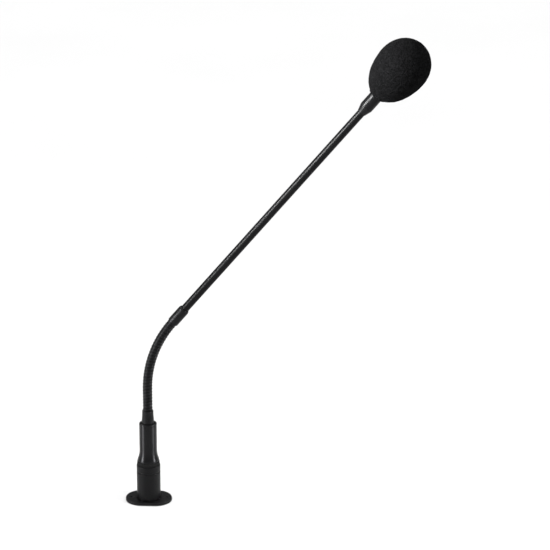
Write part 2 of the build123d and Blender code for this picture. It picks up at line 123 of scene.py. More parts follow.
# Stiff arm and head
ARM_FERRULE_LENGTH = 15.0 * MM
ARM_FERRULE_RADIUS = 4.4 * MM
TUBE_RADIUS = 3.25 * MM
TUBE_BOTTOM = 4.0 * MM
TUBE_TOP = 236.0 * MM
HEAD_BOTTOM = 230.5 * MM
HOUSING_BOTTOM = 237.5 * MM
HOUSING_TOP = 264.0 * MM
HOUSING_RADIUS = 5.3 * MM
HOUSING_BORE_RADIUS = 4.8 * MM
GROMMET_RADIUS = 1.9 * MM

# Foam windscreen
FOAM_BOTTOM = 247.0 * MM
FOAM_LENGTH = 55.5 * MM
FOAM_RADIUS = 21.1 * MM
FOAM_WIDEST = 32.5 * MM
FOAM_BORE_TOP = HOUSING_TOP + 1.8 * MM

SLIDE_FIT = 0.05 * MM
PRESS_FIT = 0.02 * MM


# ---------------------------------------------------------------- placing

class Across:
    """A plane across the neck: its origin, two directions in it, and the neck's direction."""

    def __init__(self, distance):
        turn = min(max(distance - NECK_STRAIGHT, 0.0), BEND_LENGTH) / BEND_RADIUS
        start = NECK_START + min(distance, NECK_STRAIGHT)
        beyond = max(distance - NECK_LENGTH, 0.0)
        self.along = Vector((math.sin(turn), 0, math.cos(turn)))
        self.x_dir = Vector((math.cos(turn), 0, -math.sin(turn)))
        self.y_dir = Vector((0, 1, 0))
        bend_x = BEND_RADIUS * (1 - math.cos(turn))
        bend_z = BEND_RADIUS * math.sin(turn)
        self.origin = Vector((bend_x, 0, start + bend_z)) + beyond * self.along

    def point(self, radius, angle, height):
        """A point about the neck's axis here, its height along the neck's direction."""
        around = math.cos(angle) * self.x_dir + math.sin(angle) * self.y_dir
        return self.origin + radius * around + height * self.along


def base_point(radius, angle, height):
    """A point about the connector's axis, its height above the flange's underside."""
    return Vector((radius * math.cos(angle), radius * math.sin(angle), height))


def screw_hole_point(radius, angle, height):
    """A point about the insert screw's axis, which runs along +Y."""
    return Vector((radius * math.sin(angle), height, INSERT_SCREW_HEIGHT + radius * math.cos(angle)))


arm = Across(NECK_LENGTH)


# ---------------------------------------------------------------- mesh building

SMOOTH_ANGLE = 35.0
ON_AXIS = 1e-7


def new_mesh(name, points, faces, smooth_angle=SMOOTH_ANGLE):
    """A new object in the scene, shaded smooth except at edges sharper than this, in degrees."""
    mesh = bpy.data.meshes.new(name)
    mesh.from_pydata([tuple(p) for p in points], [], faces)
    mesh.validate()
    mesh.shade_smooth()
    mesh.set_sharp_from_angle(angle=math.radians(smooth_angle))
    piece = bpy.data.objects.new(name, mesh)
    bpy.context.scene.collection.objects.link(piece)
    return piece


def rounded(corners, steps=5):
    """(radius, height, rounding) corners to (radius, height) points."""
    points = []
    for i, (radius, height, rounding) in enumerate(corners):
        here = Vector((radius, height))
        if not rounding:
            points.append(here)
            continue
        before = Vector(corners[i - 1][:2])
        after = Vector(corners[(i + 1) % len(corners)][:2])
        start = here + (before - here).normalized() * rounding
        end = here + (after - here).normalized() * rounding
        for step in range(steps + 1):
            t = step / steps
            points.append((1 - t) ** 2 * start + 2 * t * (1 - t) * here + t * t * end)
    return points


def turned(name, place, profile, segments=96, closed=True, wobble=None):
    """A solid of revolution: place(radius, angle, height) gives its points in the frame.

    An open profile starts and ends on the axis. wobble(radius, angle) changes a radius.
    """
    rings = []
    points = []
    for radius, height in profile:
        if radius < ON_AXIS:
            # the whole ring is one point
            rings.append([len(points)] * segments)
            points.append(place(0.0, 0.0, height))
            continue
        rings.append(list(range(len(points), len(points) + segments)))
        for i in range(segments):
            angle = 2 * math.pi * i / segments
            reach = wobble(radius, angle) if wobble else radius
            points.append(place(reach, angle, height))
    faces = []
    count = len(rings)
    for k in range(count if closed else count - 1):
        lower = rings[k]
        upper = rings[(k + 1) % count]
        for i in range(segments):
            j = (i + 1) % segments
            corners = [lower[i], lower[j], upper[j], upper[i]]
            face = list(dict.fromkeys(corners))
            if len(face) > 2:
                faces.append(face)
    return new_mesh(name, points, faces)


def block(name, low, high):
    """A box between two corners: only ever a cutter."""
    corners = product(*zip(low, high))
    faces = [(0, 1, 3, 2), (4, 6, 7, 5), (0, 4, 5, 1), (2, 3, 7, 6), (0, 2, 6, 4), (1, 5, 7, 3)]
    return new_mesh(name, corners, faces)


def cut_away(piece, cutter):
    """Takes the cutter's volume out of the piece, and removes the cutter."""
    modifier = piece.modifiers.new("cut", "BOOLEAN")
    modifier.operation = "DIFFERENCE"
    modifier.solver = "EXACT"
    modifier.object = cutter
    bpy.context.view_layer.update()
    graph = bpy.context.evaluated_depsgraph_get()
    mesh = bpy.data.meshes.new_from_object(piece.evaluated_get(graph))
    piece.modifiers.clear()
    piece.data = mesh
    mesh.set_sharp_from_angle(angle=math.radians(SMOOTH_ANGLE))
    bpy.data.objects.remove(cutter)


# ---------------------------------------------------------------- materials

class Material:
    """A node material whose helpers add one effect each."""

    def __init__(self, name, colour, roughness, metallic=0.0):
        self.data = bpy.data.materials.new(name)
        self.data.use_nodes = True
        self.data.diffuse_color = (*colour, 1)
        self.tree = self.data.node_tree
        self.shader = self.tree.nodes["Principled BSDF"]
        self.set("Base Color", (*colour, 1))
        self.set("Roughness", roughness)
        self.set("Metallic", metallic)
        self.roughness = roughness
        self.normal = None
        self.place = self.add("ShaderNodeTexCoord").outputs["Object"]

    def set(self, socket, value):
        """A value of the shader that is the same all over the surface."""
        self.shader.inputs[socket].default_value = value

    def add(self, kind, **settings):
        node = self.tree.nodes.new(kind)
        for key, value in settings.items():
            setattr(node, key, value)
        return node

    def link(self, output, to):
        self.tree.links.new(output, to)

    def noise(self, size, detail=3.0, stretch=(1, 1, 1), contrast=0.5):
        """Noise between 0 and 1 with grains of about this size, in metres."""
        mapping = self.add("ShaderNodeMapping")
        mapping.inputs["Scale"].default_value = tuple(s / size for s in stretch)
        self.link(self.place, mapping.inputs["Vector"])
        node = self.add("ShaderNodeTexNoise")
        node.inputs["Scale"].default_value = 1.0
        node.inputs["Detail"].default_value = detail
        node.inputs["Roughness"].default_value = contrast
        self.link(mapping.outputs["Vector"], node.inputs["Vector"])
        return node.outputs["Fac"]

    def spread(self, value, low, high, start=0.3, end=0.7):
        """value from start to end, mapped to low to high."""
        node = self.add("ShaderNodeMapRange")
        node.inputs["From Min"].default_value = start
        node.inputs["From Max"].default_value = end
        node.inputs["To Min"].default_value = low
        node.inputs["To Max"].default_value = high
        self.link(value, node.inputs["Value"])
        return node.outputs["Result"]

    def vary_roughness(self, value, by):
        low = max(self.roughness - by, 0.02)
        self.link(self.spread(value, low, self.roughness + by), self.shader.inputs["Roughness"])

    def vary_colour(self, value, *stops):
        """Colours along value: stops are (position, colour)."""
        ramp = self.add("ShaderNodeValToRGB")
        elements = ramp.color_ramp.elements
        while len(elements) < len(stops):
            elements.new(0.5)
        for element, (position, colour) in zip(elements, stops):
            element.position = position
            element.color = (*colour, 1)
        self.link(value, ramp.inputs["Fac"])
        self.link(ramp.outputs["Color"], self.shader.inputs["Base Color"])

    def bevel_normal(self, radius):
        """The normal of a surface whose edges are rounded by this radius."""
        bevel = self.add("ShaderNodeBevel", samples=6)
        bevel.inputs["Radius"].default_value = radius
        return bevel.outputs["Normal"]

    def take_normal(self, output):
        self.normal = output
        self.link(output, self.shader.inputs["Normal"])

    def round_edges(self, radius):
        """Shades edges as if they were rounded."""
        self.take_normal(self.bevel_normal(radius))

    def bump(self, value, height):
        """Raises the surface by value times height, in metres."""
        node = self.add("ShaderNodeBump")
        node.inputs["Strength"].default_value = 1.0
        node.inputs["Distance"].default_value = height
        self.link(value, node.inputs["Height"])
        if self.normal:
            self.link(self.normal, node.inputs["Normal"])
        self.take_normal(node.outputs["Normal"])

    def edge_mask(self, radius, sharpness=6.0):
        """1 at edges and 0 on open surface: where the rounded normal leaves the true one."""
        true = self.add("ShaderNodeNewGeometry")
        dot = self.add("ShaderNodeVectorMath", operation="DOT_PRODUCT")
        self.link(self.bevel_normal(radius), dot.inputs[0])
        self.link(true.outputs["Normal"], dot.inputs[1])
        away = self.add("ShaderNodeMath", operation="SUBTRACT")
        away.inputs[0].default_value = 1.0
        self.link(dot.outputs["Value"], away.inputs[1])
        more = self.add("ShaderNodeMath", operation="MULTIPLY", use_clamp=True)
        more.inputs[1].default_value = sharpness
        self.link(away.outputs["Value"], more.inputs[0])
        return more.outputs["Value"]

    def times(self, a, b):
        """Both values together, as masks."""
        node = self.add("ShaderNodeMath", operation="MULTIPLY", use_clamp=True)
        self.link(a, node.inputs[0])
        self.link(b, node.inputs[1])
        return node.outputs["Value"]


def black_shell():
    """Satin black plating over cast zinc: a fine orange-peel grain, a little rubbed at edges."""
    m = Material("black_shell", (0.004, 0.004, 0.0044), 0.36)
    m.set("Specular IOR Level", 0.11)
    m.round_edges(0.25 * MM)
    m.bump(m.noise(0.35 * MM, detail=2), 0.012 * MM)
    m.vary_roughness(m.noise(9 * MM, detail=4), 0.05)
    rub = m.times(m.edge_mask(0.3 * MM), m.spread(m.noise(2.5 * MM), 0, 1, 0.45, 0.65))
    m.vary_colour(rub, (0.0, (0.004, 0.004, 0.0044)), (1.0, (0.035, 0.034, 0.032)))
    return m


def gloss_collar():
    """Black chrome: a highlight drawn out by fine turning marks, and a haze of finger grease."""
    m = Material("gloss_collar", (0.022, 0.022, 0.023), 0.36, metallic=1.0)
    m.set("Anisotropic", 0.85)
    m.set("Anisotropic Rotation", 0.25)
    m.round_edges(0.2 * MM)
    m.bump(m.noise(0.5 * MM, detail=1, stretch=(0.02, 0.02, 1)), 0.0012 * MM)
    haze = m.noise(11 * MM, detail=5, contrast=0.6)
    m.vary_roughness(haze, 0.05)
    m.vary_colour(haze, (0.25, (0.018, 0.018, 0.019)), (0.8, (0.025, 0.025, 0.026)))
    return m


def black_oxide(name, colour, roughness):
    """Blackened steel wire or turned steel: drawn lines and worn high spots."""
    m = Material(name, colour, roughness, metallic=0.7)
    m.set("Specular IOR Level", 0.15)
    m.round_edges(0.15 * MM)
    m.bump(m.noise(0.4 * MM, detail=3, stretch=(1, 1, 0.5)), 0.006 * MM)
    m.vary_roughness(m.noise(3 * MM, detail=4), 0.08)
    bright = tuple(c * 1.8 for c in colour)
    m.vary_colour(m.noise(1.7 * MM, detail=4), (0.35, colour), (0.8, bright))
    return m


def tube_paint():
    """Baked satin black paint on the stiff tube, with faint orange peel."""
    m = Material("tube_paint", (0.0035, 0.0035, 0.0038), 0.36)
    m.set("Specular IOR Level", 0.08)
    m.bump(m.noise(1.1 * MM, detail=2), 0.012 * MM)
    m.bump(m.noise(0.25 * MM, detail=2), 0.003 * MM)
    m.vary_roughness(m.noise(14 * MM, detail=5), 0.05)
    clouds = m.noise(20 * MM, detail=3)
    m.vary_colour(clouds, (0.3, (0.0028, 0.0028, 0.003)), (0.8, (0.005, 0.005, 0.0054)))
    return m


def boot_rubber():
    """Matte moulded rubber with a dusty bloom."""
    m = Material("boot_rubber", (0.004, 0.004, 0.004), 0.75)
    m.set("Specular IOR Level", 0.12)
    m.bump(m.noise(0.3 * MM, detail=4), 0.02 * MM)
    m.vary_roughness(m.noise(4 * MM, detail=3), 0.08)
    dust = m.noise(5 * MM, detail=5)
    m.vary_colour(dust, (0.3, (0.003, 0.003, 0.003)), (0.85, (0.008, 0.008, 0.008)))
    return m


def bright_steel():
    """Zinc-plated steel of screws and springs: cool grey, brushed in a fine swirl."""
    m = Material("bright_steel", (0.6, 0.6, 0.59), 0.28, metallic=1.0)
    m.round_edges(0.12 * MM)
    m.bump(m.noise(0.12 * MM, detail=3, stretch=(1, 3, 1)), 0.004 * MM)
    m.vary_roughness(m.noise(1.2 * MM, detail=4), 0.09)
    m.vary_colour(m.noise(2 * MM, detail=4), (0.3, (0.5, 0.5, 0.5)), (0.75, (0.68, 0.68, 0.66)))
    return m


def contact_metal():
    """Gold-flashed contacts."""
    m = Material("contact_metal", (0.83, 0.62, 0.27), 0.22, metallic=1.0)
    m.bump(m.noise(0.3 * MM, detail=2, stretch=(1, 1, 0.2)), 0.003 * MM)
    m.vary_roughness(m.noise(1 * MM, detail=4), 0.07)
    m.vary_colour(m.noise(3 * MM, detail=3), (0.3, (0.74, 0.53, 0.22)), (0.8, (0.87, 0.68, 0.33)))
    return m


def moulded_plastic(name, colour, roughness):
    """Moulded plastic with a spark-eroded texture."""
    m = Material(name, colour, roughness)
    m.round_edges(0.15 * MM)
    m.bump(m.noise(0.22 * MM, detail=3), 0.012 * MM)
    m.vary_roughness(m.noise(3 * MM, detail=3), 0.06)
    light = tuple(c * 1.5 for c in colour)
    m.vary_colour(m.noise(6 * MM, detail=4), (0.3, colour), (0.85, light))
    return m


def capacitor_can():
    """Satin aluminium of the capacitor cans and the capsule."""
    m = Material("capacitor_can", (0.72, 0.73, 0.74), 0.32, metallic=1.0)
    m.round_edges(0.15 * MM)
    m.bump(m.noise(0.15 * MM, detail=3, stretch=(1, 1, 0.1)), 0.004 * MM)
    m.vary_roughness(m.noise(1.5 * MM, detail=3), 0.08)
    m.vary_colour(m.noise(2.5 * MM), (0.3, (0.64, 0.65, 0.67)), (0.8, (0.78, 0.78, 0.79)))
    return m


def board_green():
    """Solder-masked circuit board, with lighter tracks under the mask."""
    m = Material("board_green", (0.012, 0.075, 0.035), 0.3)
    m.set("Coat Weight", 0.3)
    tracks = m.add("ShaderNodeTexBrick")
    tracks.inputs["Scale"].default_value = 420.0
    tracks.inputs["Mortar Size"].default_value = 0.04
    m.link(m.place, tracks.inputs["Vector"])
    m.vary_colour(tracks.outputs["Fac"], (0.0, (0.011, 0.07, 0.032)), (1.0, (0.03, 0.15, 0.07)))
    m.bump(tracks.outputs["Fac"], 0.02 * MM)
    m.vary_roughness(m.noise(3 * MM), 0.05)
    return m


def foam_material():
    """Open-cell charcoal foam: matte walls that catch light, and painted shade that darkens the
    colour towards the middle of each pore.
    """
    m = Material("foam", (0.009, 0.009, 0.0095), 0.95)
    m.set("Specular IOR Level", 0.02)
    # painted shade: the colour darkens with each vertex's pore depth, from the walls to the middle
    # of the pores
    m.vary_colour(
        m.add("ShaderNodeAttribute", attribute_name="pore").outputs["Fac"],
        (0.0, (0.008, 0.008, 0.0084)),
        (0.5, (0.005, 0.005, 0.0053)),
        (1.0, (0.001, 0.001, 0.001)),
    )
    m.bump(m.noise(0.28 * MM, detail=4, contrast=0.7), 0.12 * MM)
    m.vary_roughness(m.noise(2 * MM), 0.04)
    return m


MATERIALS = {
    "black_shell": black_shell(),
    "gloss_collar": gloss_collar(),
    "black_oxide_steel": black_oxide("black_oxide_steel", (0.009, 0.009, 0.0095), 0.38),
    "tube_paint": tube_paint(),
    "boot_rubber": boot_rubber(),
    "bright_steel": bright_steel(),
    "contact_metal": contact_metal(),
    "insert_plastic": moulded_plastic("insert_plastic", (0.01, 0.01, 0.011), 0.45),
    "lever_plastic": moulded_plastic("lever_plastic", (0.011, 0.011, 0.012), 0.38),
    "component_black": moulded_plastic("component_black", (0.02, 0.02, 0.021), 0.5),
    "cable_jacket": moulded_plastic("cable_jacket", (0.025, 0.025, 0.026), 0.5),
    "capacitor_can": capacitor_can(),
    "board_green": board_green(),
    "foam": foam_material(),
}
WEDGE_WIRE = black_oxide("wedge_wire", (0.005, 0.005, 0.0053), 0.42)


def finish_with(piece, slot_name, extra=()):
    """Gives piece the slot's material, and any extra ones after it."""
    piece.data.materials.clear()
    for material in (MATERIALS[slot_name], *extra):
        piece.data.materials.append(material.data)


def stand_for(piece, body, slot_name, *cad_names):
    """piece takes that finish, moves with that body, and replaces those CAD nodes."""
    finish_with(piece, slot_name)
    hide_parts(*cad_names)
    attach(piece, body)


# every CAD node takes the material of its slot in the record
for part in frame["record"]["subparts"]:
    cad = nodes[part["node"]]
    for material_slot in cad.material_slots:
        material_slot.material = MATERIALS[part["material_slot"]].data


# ---------------------------------------------------------------- plug

def wall_rings(radius, *heights):
    """Corners down a straight wall, heights in mm, which keep its faces short beside the cuts."""
    return [(radius, height * MM, 0) for height in heights]


shell_outline = [
    (NOSE_BORE_RADIUS, NOSE_BOTTOM, 0),
    (NOSE_RADIUS, NOSE_BOTTOM, 0.4 * MM),
    *wall_rings(NOSE_RADIUS, -17.0, -14.0, -10.4, -7.0, -3.5, 0.0),
    (NOSE_RADIUS, PLUG_SHOULDER, 0),
    (PLUG_RADIUS, PLUG_SHOULDER, 0.12 * MM),
    *wall_rings(PLUG_RADIUS, 3.4, 6.6, 10.0, 13.5, 17.0, 20.5),
    (PLUG_RADIUS, GROOVE_HEIGHT, 0.15 * MM),
    (PLUG_RADIUS - GROOVE_DEPTH, GROOVE_HEIGHT + GROOVE_FLANK, 0.1 * MM),
    (PLUG_RADIUS - GROOVE_DEPTH, GROOVE_HEIGHT + GROOVE_WIDTH - GROOVE_FLANK, 0.1 * MM),
    (PLUG_RADIUS, GROOVE_HEIGHT + GROOVE_WIDTH, 0.15 * MM),
    (PLUG_RADIUS, PLUG_TOP, 0.7 * MM),
    (PLUG_NECK_RADIUS, PLUG_TOP, 0),
    (PLUG_NECK_RADIUS, GROOVE_HEIGHT + 1.5 * MM, 0),
    (NOSE_BORE_RADIUS, GROOVE_HEIGHT + 0.4 * MM, 0),
    *wall_rings(NOSE_BORE_RADIUS, 18.0, 10.0, 6.6, 3.4, -3.5, -10.4),
]
shell = turned("plug_casing", base_point, rounded(shell_outline), segments=192)

# both cutters start inside the bore and end outside the wall
CUT_START = 6.0 * MM
keyway_low = (-KEYWAY_WIDTH / 2, CUT_START, NOSE_BOTTOM - 1 * MM)
keyway_high = (KEYWAY_WIDTH / 2, 12.0 * MM, KEYWAY_TOP)
cut_away(shell, block("keyway", keyway_low, keyway_high))

# the insert screw's hole, with a countersunk mouth
hole_radius = INSERT_SCREW_RADIUS + SLIDE_FIT
screw_hole_outline = [
    (0, CUT_START),
    (hole_radius, CUT_START),
    (hole_radius, PLUG_RADIUS - 0.2 * MM),
    (hole_radius + 0.5 * MM, PLUG_RADIUS + 0.3 * MM),
    (0, PLUG_RADIUS + 0.3 * MM),
]
screw_hole = turned("screw_hole", screw_hole_point, screw_hole_outline, segments=32, closed=False)
cut_away(shell, screw_hole)
stand_for(shell, "plug", "black_shell", "plug_shell")


# ---------------------------------------------------------------- collar and boot

def flare(top, bottom, steps=14):
    """Corners down the collar's concave flare: an arc that leaves top straight down."""
    reach = bottom[0] - top[0]
    drop = top[1] - bottom[1]
    radius = (reach**2 + drop**2) / (2 * reach)
    angle = math.asin(drop / radius)
    points = []
    for i in range(steps + 1):
        a = angle * i / steps
        points.append((top[0] + radius * (1 - math.cos(a)), top[1] - radius * math.sin(a), 0))
    return points


collar_outline = [
    (COLLAR_BORE_RADIUS, COLLAR_SHELF, 0),
    (FERRULE_SPIGOT_RADIUS + SLIDE_FIT, COLLAR_SHELF, 0),
    (FERRULE_SPIGOT_RADIUS + SLIDE_FIT, COLLAR_TOP, 0),
    (COLLAR_RADIUS - 0.05 * MM, COLLAR_TOP, 0.75 * MM),
    (COLLAR_RADIUS, COLLAR_TOP - 1.1 * MM, 0),
    *flare((COLLAR_RADIUS, FLARE_TOP), (COLLAR_FOOT_RADIUS, FLARE_BOTTOM)),
    (COLLAR_FOOT_RADIUS, COLLAR_BOTTOM, 0.4 * MM),
    (PLUG_NECK_RADIUS - SLIDE_FIT, COLLAR_BOTTOM, 0),
    (PLUG_NECK_RADIUS - SLIDE_FIT, COLLAR_SPIGOT_BOTTOM, 0),
    (COLLAR_BORE_RADIUS, COLLAR_SPIGOT_BOTTOM, 0),
]
collar = turned("collar", base_point, rounded(collar_outline), segments=160)
stand_for(collar, "plug", "gloss_collar", "base_collar")

BOOT_RIBS = 36
RIB_DEPTH = 0.14 * MM


def boot_rib(radius, angle):
    """Shallow upright ribs on the boot's outer wall."""
    if radius < BOOT_RADIUS - 0.3 * MM:
        return radius
    return radius - RIB_DEPTH * (0.5 - 0.5 * math.cos(BOOT_RIBS * angle)) ** 2


boot_outline = [
    (PLUG_NECK_RADIUS, PLUG_TOP, 0),
    (BOOT_RADIUS - 0.2 * MM, PLUG_TOP, 0.3 * MM),
    (BOOT_RADIUS, PLUG_TOP + 0.6 * MM, 0.2 * MM),
    (BOOT_RADIUS, COLLAR_BOTTOM - 0.6 * MM, 0.2 * MM),
    (BOOT_RADIUS - 0.2 * MM, COLLAR_BOTTOM, 0.3 * MM),
    (PLUG_NECK_RADIUS, COLLAR_BOTTOM, 0),
]
boot = turned("boot", base_point, rounded(boot_outline), segments=BOOT_RIBS * 8, wobble=boot_rib)
stand_for(boot, "plug", "boot_rubber", "boot_ring")


# ---------------------------------------------------------------- ferrules and head

# the ferrules are cups that the neck's wound wire is pressed into
CUP_RADIUS = 4.02 * MM
CUP_DEPTH = 3.6 * MM

ferrule_outline = [
    (NECK_BORE_RADIUS, FERRULE_BOTTOM, 0),
    (FERRULE_SPIGOT_RADIUS, FERRULE_BOTTOM, 0.2 * MM),
    (FERRULE_SPIGOT_RADIUS, COLLAR_TOP, 0),
    (FERRULE_RADIUS, COLLAR_TOP, 0.2 * MM),
    (FERRULE_RADIUS, COLLAR_TOP + 1.2 * MM, 0.5 * MM),
    (FERRULE_TOP_RADIUS, NECK_START - 3 * MM, 1.5 * MM),
    (FERRULE_TOP_RADIUS, NECK_START, 0.2 * MM),
    (CUP_RADIUS, NECK_START, 0),
    (CUP_RADIUS, NECK_START - CUP_DEPTH, 0),
    (NECK_BORE_RADIUS, NECK_START - CUP_DEPTH, 0),
]
ferrule = turned("lower_ferrule", base_point, rounded(ferrule_outline), segments=112)
stand_for(ferrule, "plug", "black_oxide_steel", "neck_ferrule")

arm_ferrule_outline = [
    (CUP_RADIUS, 0, 0),
    (ARM_FERRULE_RADIUS, 0, 0.18 * MM),
    (ARM_FERRULE_RADIUS, ARM_FERRULE_LENGTH - 1.2 * MM, 0.6 * MM),
    (TUBE_RADIUS + 0.5 * MM, ARM_FERRULE_LENGTH, 0.25 * MM),
    (TUBE_RADIUS + PRESS_FIT, ARM_FERRULE_LENGTH, 0),
    (TUBE_RADIUS + PRESS_FIT, TUBE_BOTTOM, 0),
    (NECK_BORE_RADIUS, TUBE_BOTTOM, 0),
    (NECK_BORE_RADIUS, CUP_DEPTH, 0),
    (CUP_RADIUS, CUP_DEPTH, 0),
]
arm_ferrule = turned("upper_ferrule", arm.point, rounded(arm_ferrule_outline), segments=112)
stand_for(arm_ferrule, "arm", "black_oxide_steel", "arm_ferrule")

head_outline = [
    (TUBE_RADIUS + PRESS_FIT, HEAD_BOTTOM, 0),
    (TUBE_RADIUS + 0.45 * MM, HEAD_BOTTOM, 0.15 * MM),
    (TUBE_RADIUS + 0.6 * MM, HEAD_BOTTOM + 1 * MM, 0.4 * MM),
    (HOUSING_RADIUS, HOUSING_BOTTOM - 1.5 * MM, 0.9 * MM),
    (HOUSING_RADIUS, HOUSING_BOTTOM, 0.2 * MM),
    (HOUSING_BORE_RADIUS - PRESS_FIT, HOUSING_BOTTOM, 0),
    (HOUSING_BORE_RADIUS - PRESS_FIT, HOUSING_BOTTOM + 3 * MM, 0),
    (TUBE_RADIUS + 0.75 * MM, HOUSING_BOTTOM + 3 * MM, 0),
    (TUBE_RADIUS + 0.75 * MM, TUBE_TOP + 1 * MM, 0),
    (GROMMET_RADIUS, TUBE_TOP + 1 * MM, 0),
    (GROMMET_RADIUS, TUBE_TOP, 0),
    (TUBE_RADIUS + PRESS_FIT, TUBE_TOP, 0),
]
head = turned("head_taper", arm.point, rounded(head_outline), segments=112)
stand_for(head, "arm", "black_shell", "head_collar")


# ---------------------------------------------------------------- flexible neck

ROUND_WIRE = 0.8 * MM
TURNS_PER_LINK = 3
PITCH = LINK_LENGTH / TURNS_PER_LINK
WEDGE_HALF_WIDTH = (PITCH / 2 - ROUND_WIRE) + 0.13 * MM
WEDGE_CROWN = NECK_RADIUS - 0.28 * MM
WEDGE_ROOT = NECK_RADIUS - 1.25 * MM
STEPS_PER_TURN = 44


def round_section(sides=14):
    """(outward, along) points of the round wire about the middle of its turn."""
    centre = NECK_RADIUS - ROUND_WIRE
    turns = [2 * math.pi * i / sides for i in range(sides)]
    return [(centre + ROUND_WIRE * math.cos(a), ROUND_WIRE * math.sin(a)) for a in turns]


def wedge_section():
    """(outward, along) points of the triangular wire that closes the gap between round turns."""
    return [
        (WEDGE_CROWN - 0.1 * MM, -WEDGE_HALF_WIDTH),
        (WEDGE_CROWN, -0.5 * WEDGE_HALF_WIDTH),
        (WEDGE_CROWN + 0.02 * MM, 0.0),
        (WEDGE_CROWN, 0.5 * WEDGE_HALF_WIDTH),
        (WEDGE_CROWN - 0.1 * MM, WEDGE_HALF_WIDTH),
        (WEDGE_CROWN - 0.3 * MM, WEDGE_HALF_WIDTH),
        (WEDGE_ROOT, 0.1 * MM),
        (WEDGE_ROOT, -0.1 * MM),
        (WEDGE_CROWN - 0.3 * MM, -WEDGE_HALF_WIDTH),
    ]


def add_helix(points, faces, section, first, last, phase):
    """Sweeps section along the helix between two distances up the neck, and caps its ends."""
    steps = max(2, round((last - first) / PITCH * STEPS_PER_TURN))
    rows = []
    for step in range(steps + 1):
        distance = first + (last - first) * step / steps
        across = Across(distance)
        angle = 2 * math.pi * (distance / PITCH + phase)
        row = []
        for outward, along in section:
            row.append(len(points))
            points.append(across.point(outward, angle, along))
        rows.append(row)
    count = len(section)
    for lower, upper in zip(rows, rows[1:]):
        for i in range(count):
            j = (i + 1) % count
            faces.append([lower[i], upper[i], upper[j], lower[j]])
    faces.append(rows[0])
    faces.append(rows[-1][::-1])


def neck_coil(name, first, last):
    """The round wire and the wedge wire wound into its gap, between two distances up the neck."""
    points = []
    faces = []
    add_helix(points, faces, round_section(), first, last, 0.0)
    round_faces = len(faces)
    add_helix(points, faces, wedge_section(), first, last, 0.5)
    coil = new_mesh(name, points, faces, smooth_angle=50)
    finish_with(coil, "black_oxide_steel", extra=(WEDGE_WIRE,))
    for face in coil.data.polygons[round_faces:]:
        face.material_index = 1
    return coil


def neck_cable(name, first, last, steps=16, sides=20):
    """The cable inside the neck, between two distances up it."""
    points = []
    faces = []
    for step in range(steps + 1):
        across = Across(first + (last - first) * step / steps)
        for i in range(sides):
            points.append(across.point(CABLE_RADIUS, 2 * math.pi * i / sides, 0.0))
    for step in range(steps):
        for i in range(sides):
            j = (i + 1) % sides
            low = step * sides
            faces.append([low + i, low + j, low + sides + j, low + sides + i])
    faces.append(list(range(sides))[::-1])
    faces.append([steps * sides + i for i in range(sides)])
    cable = new_mesh(name, points, faces)
    finish_with(cable, "cable_jacket")
    return cable


# One length of coil and of cable at each joint, from the middle of one link to the middle
# of the next. The coil's ends go one turn into the ferrules' cups.
for joint in range(LINK_COUNT + 1):
    middle = joint * LINK_LENGTH
    first = max(middle - LINK_LENGTH / 2, -PITCH)
    last = min(middle + LINK_LENGTH / 2, NECK_LENGTH + PITCH)
    coil = neck_coil(f"neck_coil_{joint:02d}", first, last)
    cable = neck_cable(f"neck_cable_{joint:02d}", max(first, 0.0), min(last, NECK_LENGTH))
    for piece in (coil, cable):
        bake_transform(piece)
    if joint > 0:
        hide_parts(f"neck_link_{joint:02d}")
    if joint == LINK_COUNT // 2:
        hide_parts("neck_cable")


# ---------------------------------------------------------------- foam windscreen

FOAM_SEGMENTS = 380
FOAM_RINGS = 205
BORE_END_RINGS = 8
BORE_RINGS = 24
LIP_RINGS = 10
FOAM_GAP = 0.12 * MM
MOUTH_ROUNDING = 1.1 * MM
PORE_SIZE = 1.25 * MM
PORE_DEPTH = 0.42 * MM
PORE_WALL = 0.34
PORE_CURVE = 0.8
LUMP_SIZE = 9 * MM
LUMP_HEIGHT = 0.18 * MM
LUMP_OCTAVES = 3
GRIT_SIZE = 0.5 * MM
GRIT_HEIGHT = 0.07 * MM


def foam_outline():
    """(radius, height) points from the bore's closed end, round the mouth, to the tip."""
    middle = FOAM_BOTTOM + FOAM_WIDEST
    bore = HOUSING_RADIUS + FOAM_GAP
    start = -math.acos((bore + 2 * MOUTH_ROUNDING) / FOAM_RADIUS)
    mouth = middle + FOAM_WIDEST * math.sin(start)
    points = [(0.0, FOAM_BORE_TOP)]
    for k in range(1, BORE_END_RINGS + 1):
        points.append((bore * k / BORE_END_RINGS, FOAM_BORE_TOP))
    for k in range(1, BORE_RINGS):
        points.append((bore, FOAM_BORE_TOP + (mouth - FOAM_BORE_TOP) * k / BORE_RINGS))
    for k in range(LIP_RINGS):
        a = math.pi * k / LIP_RINGS
        lip = MOUTH_ROUNDING * (1 - math.cos(a))
        points.append((bore + lip, mouth - MOUTH_ROUNDING * math.sin(a)))
    for k in range(FOAM_RINGS + 1):
        a = start + (math.pi / 2 - start) * k / FOAM_RINGS
        half = FOAM_WIDEST if a < 0 else FOAM_LENGTH - FOAM_WIDEST
        points.append((FOAM_RADIUS * math.cos(a), middle + half * math.sin(a)))
    points[-1] = (0.0, FOAM_BOTTOM + FOAM_LENGTH)
    return points


def pore_depth(point):
    """How deep a point lies in a pore: 0 on a wall, 1 in the middle."""
    distances = noise.voronoi(point / PORE_SIZE, distance_metric="DISTANCE")[0]
    inside = (distances[1] - distances[0]) / PORE_WALL
    return min(max(inside, 0.0), 1.0) ** PORE_CURVE


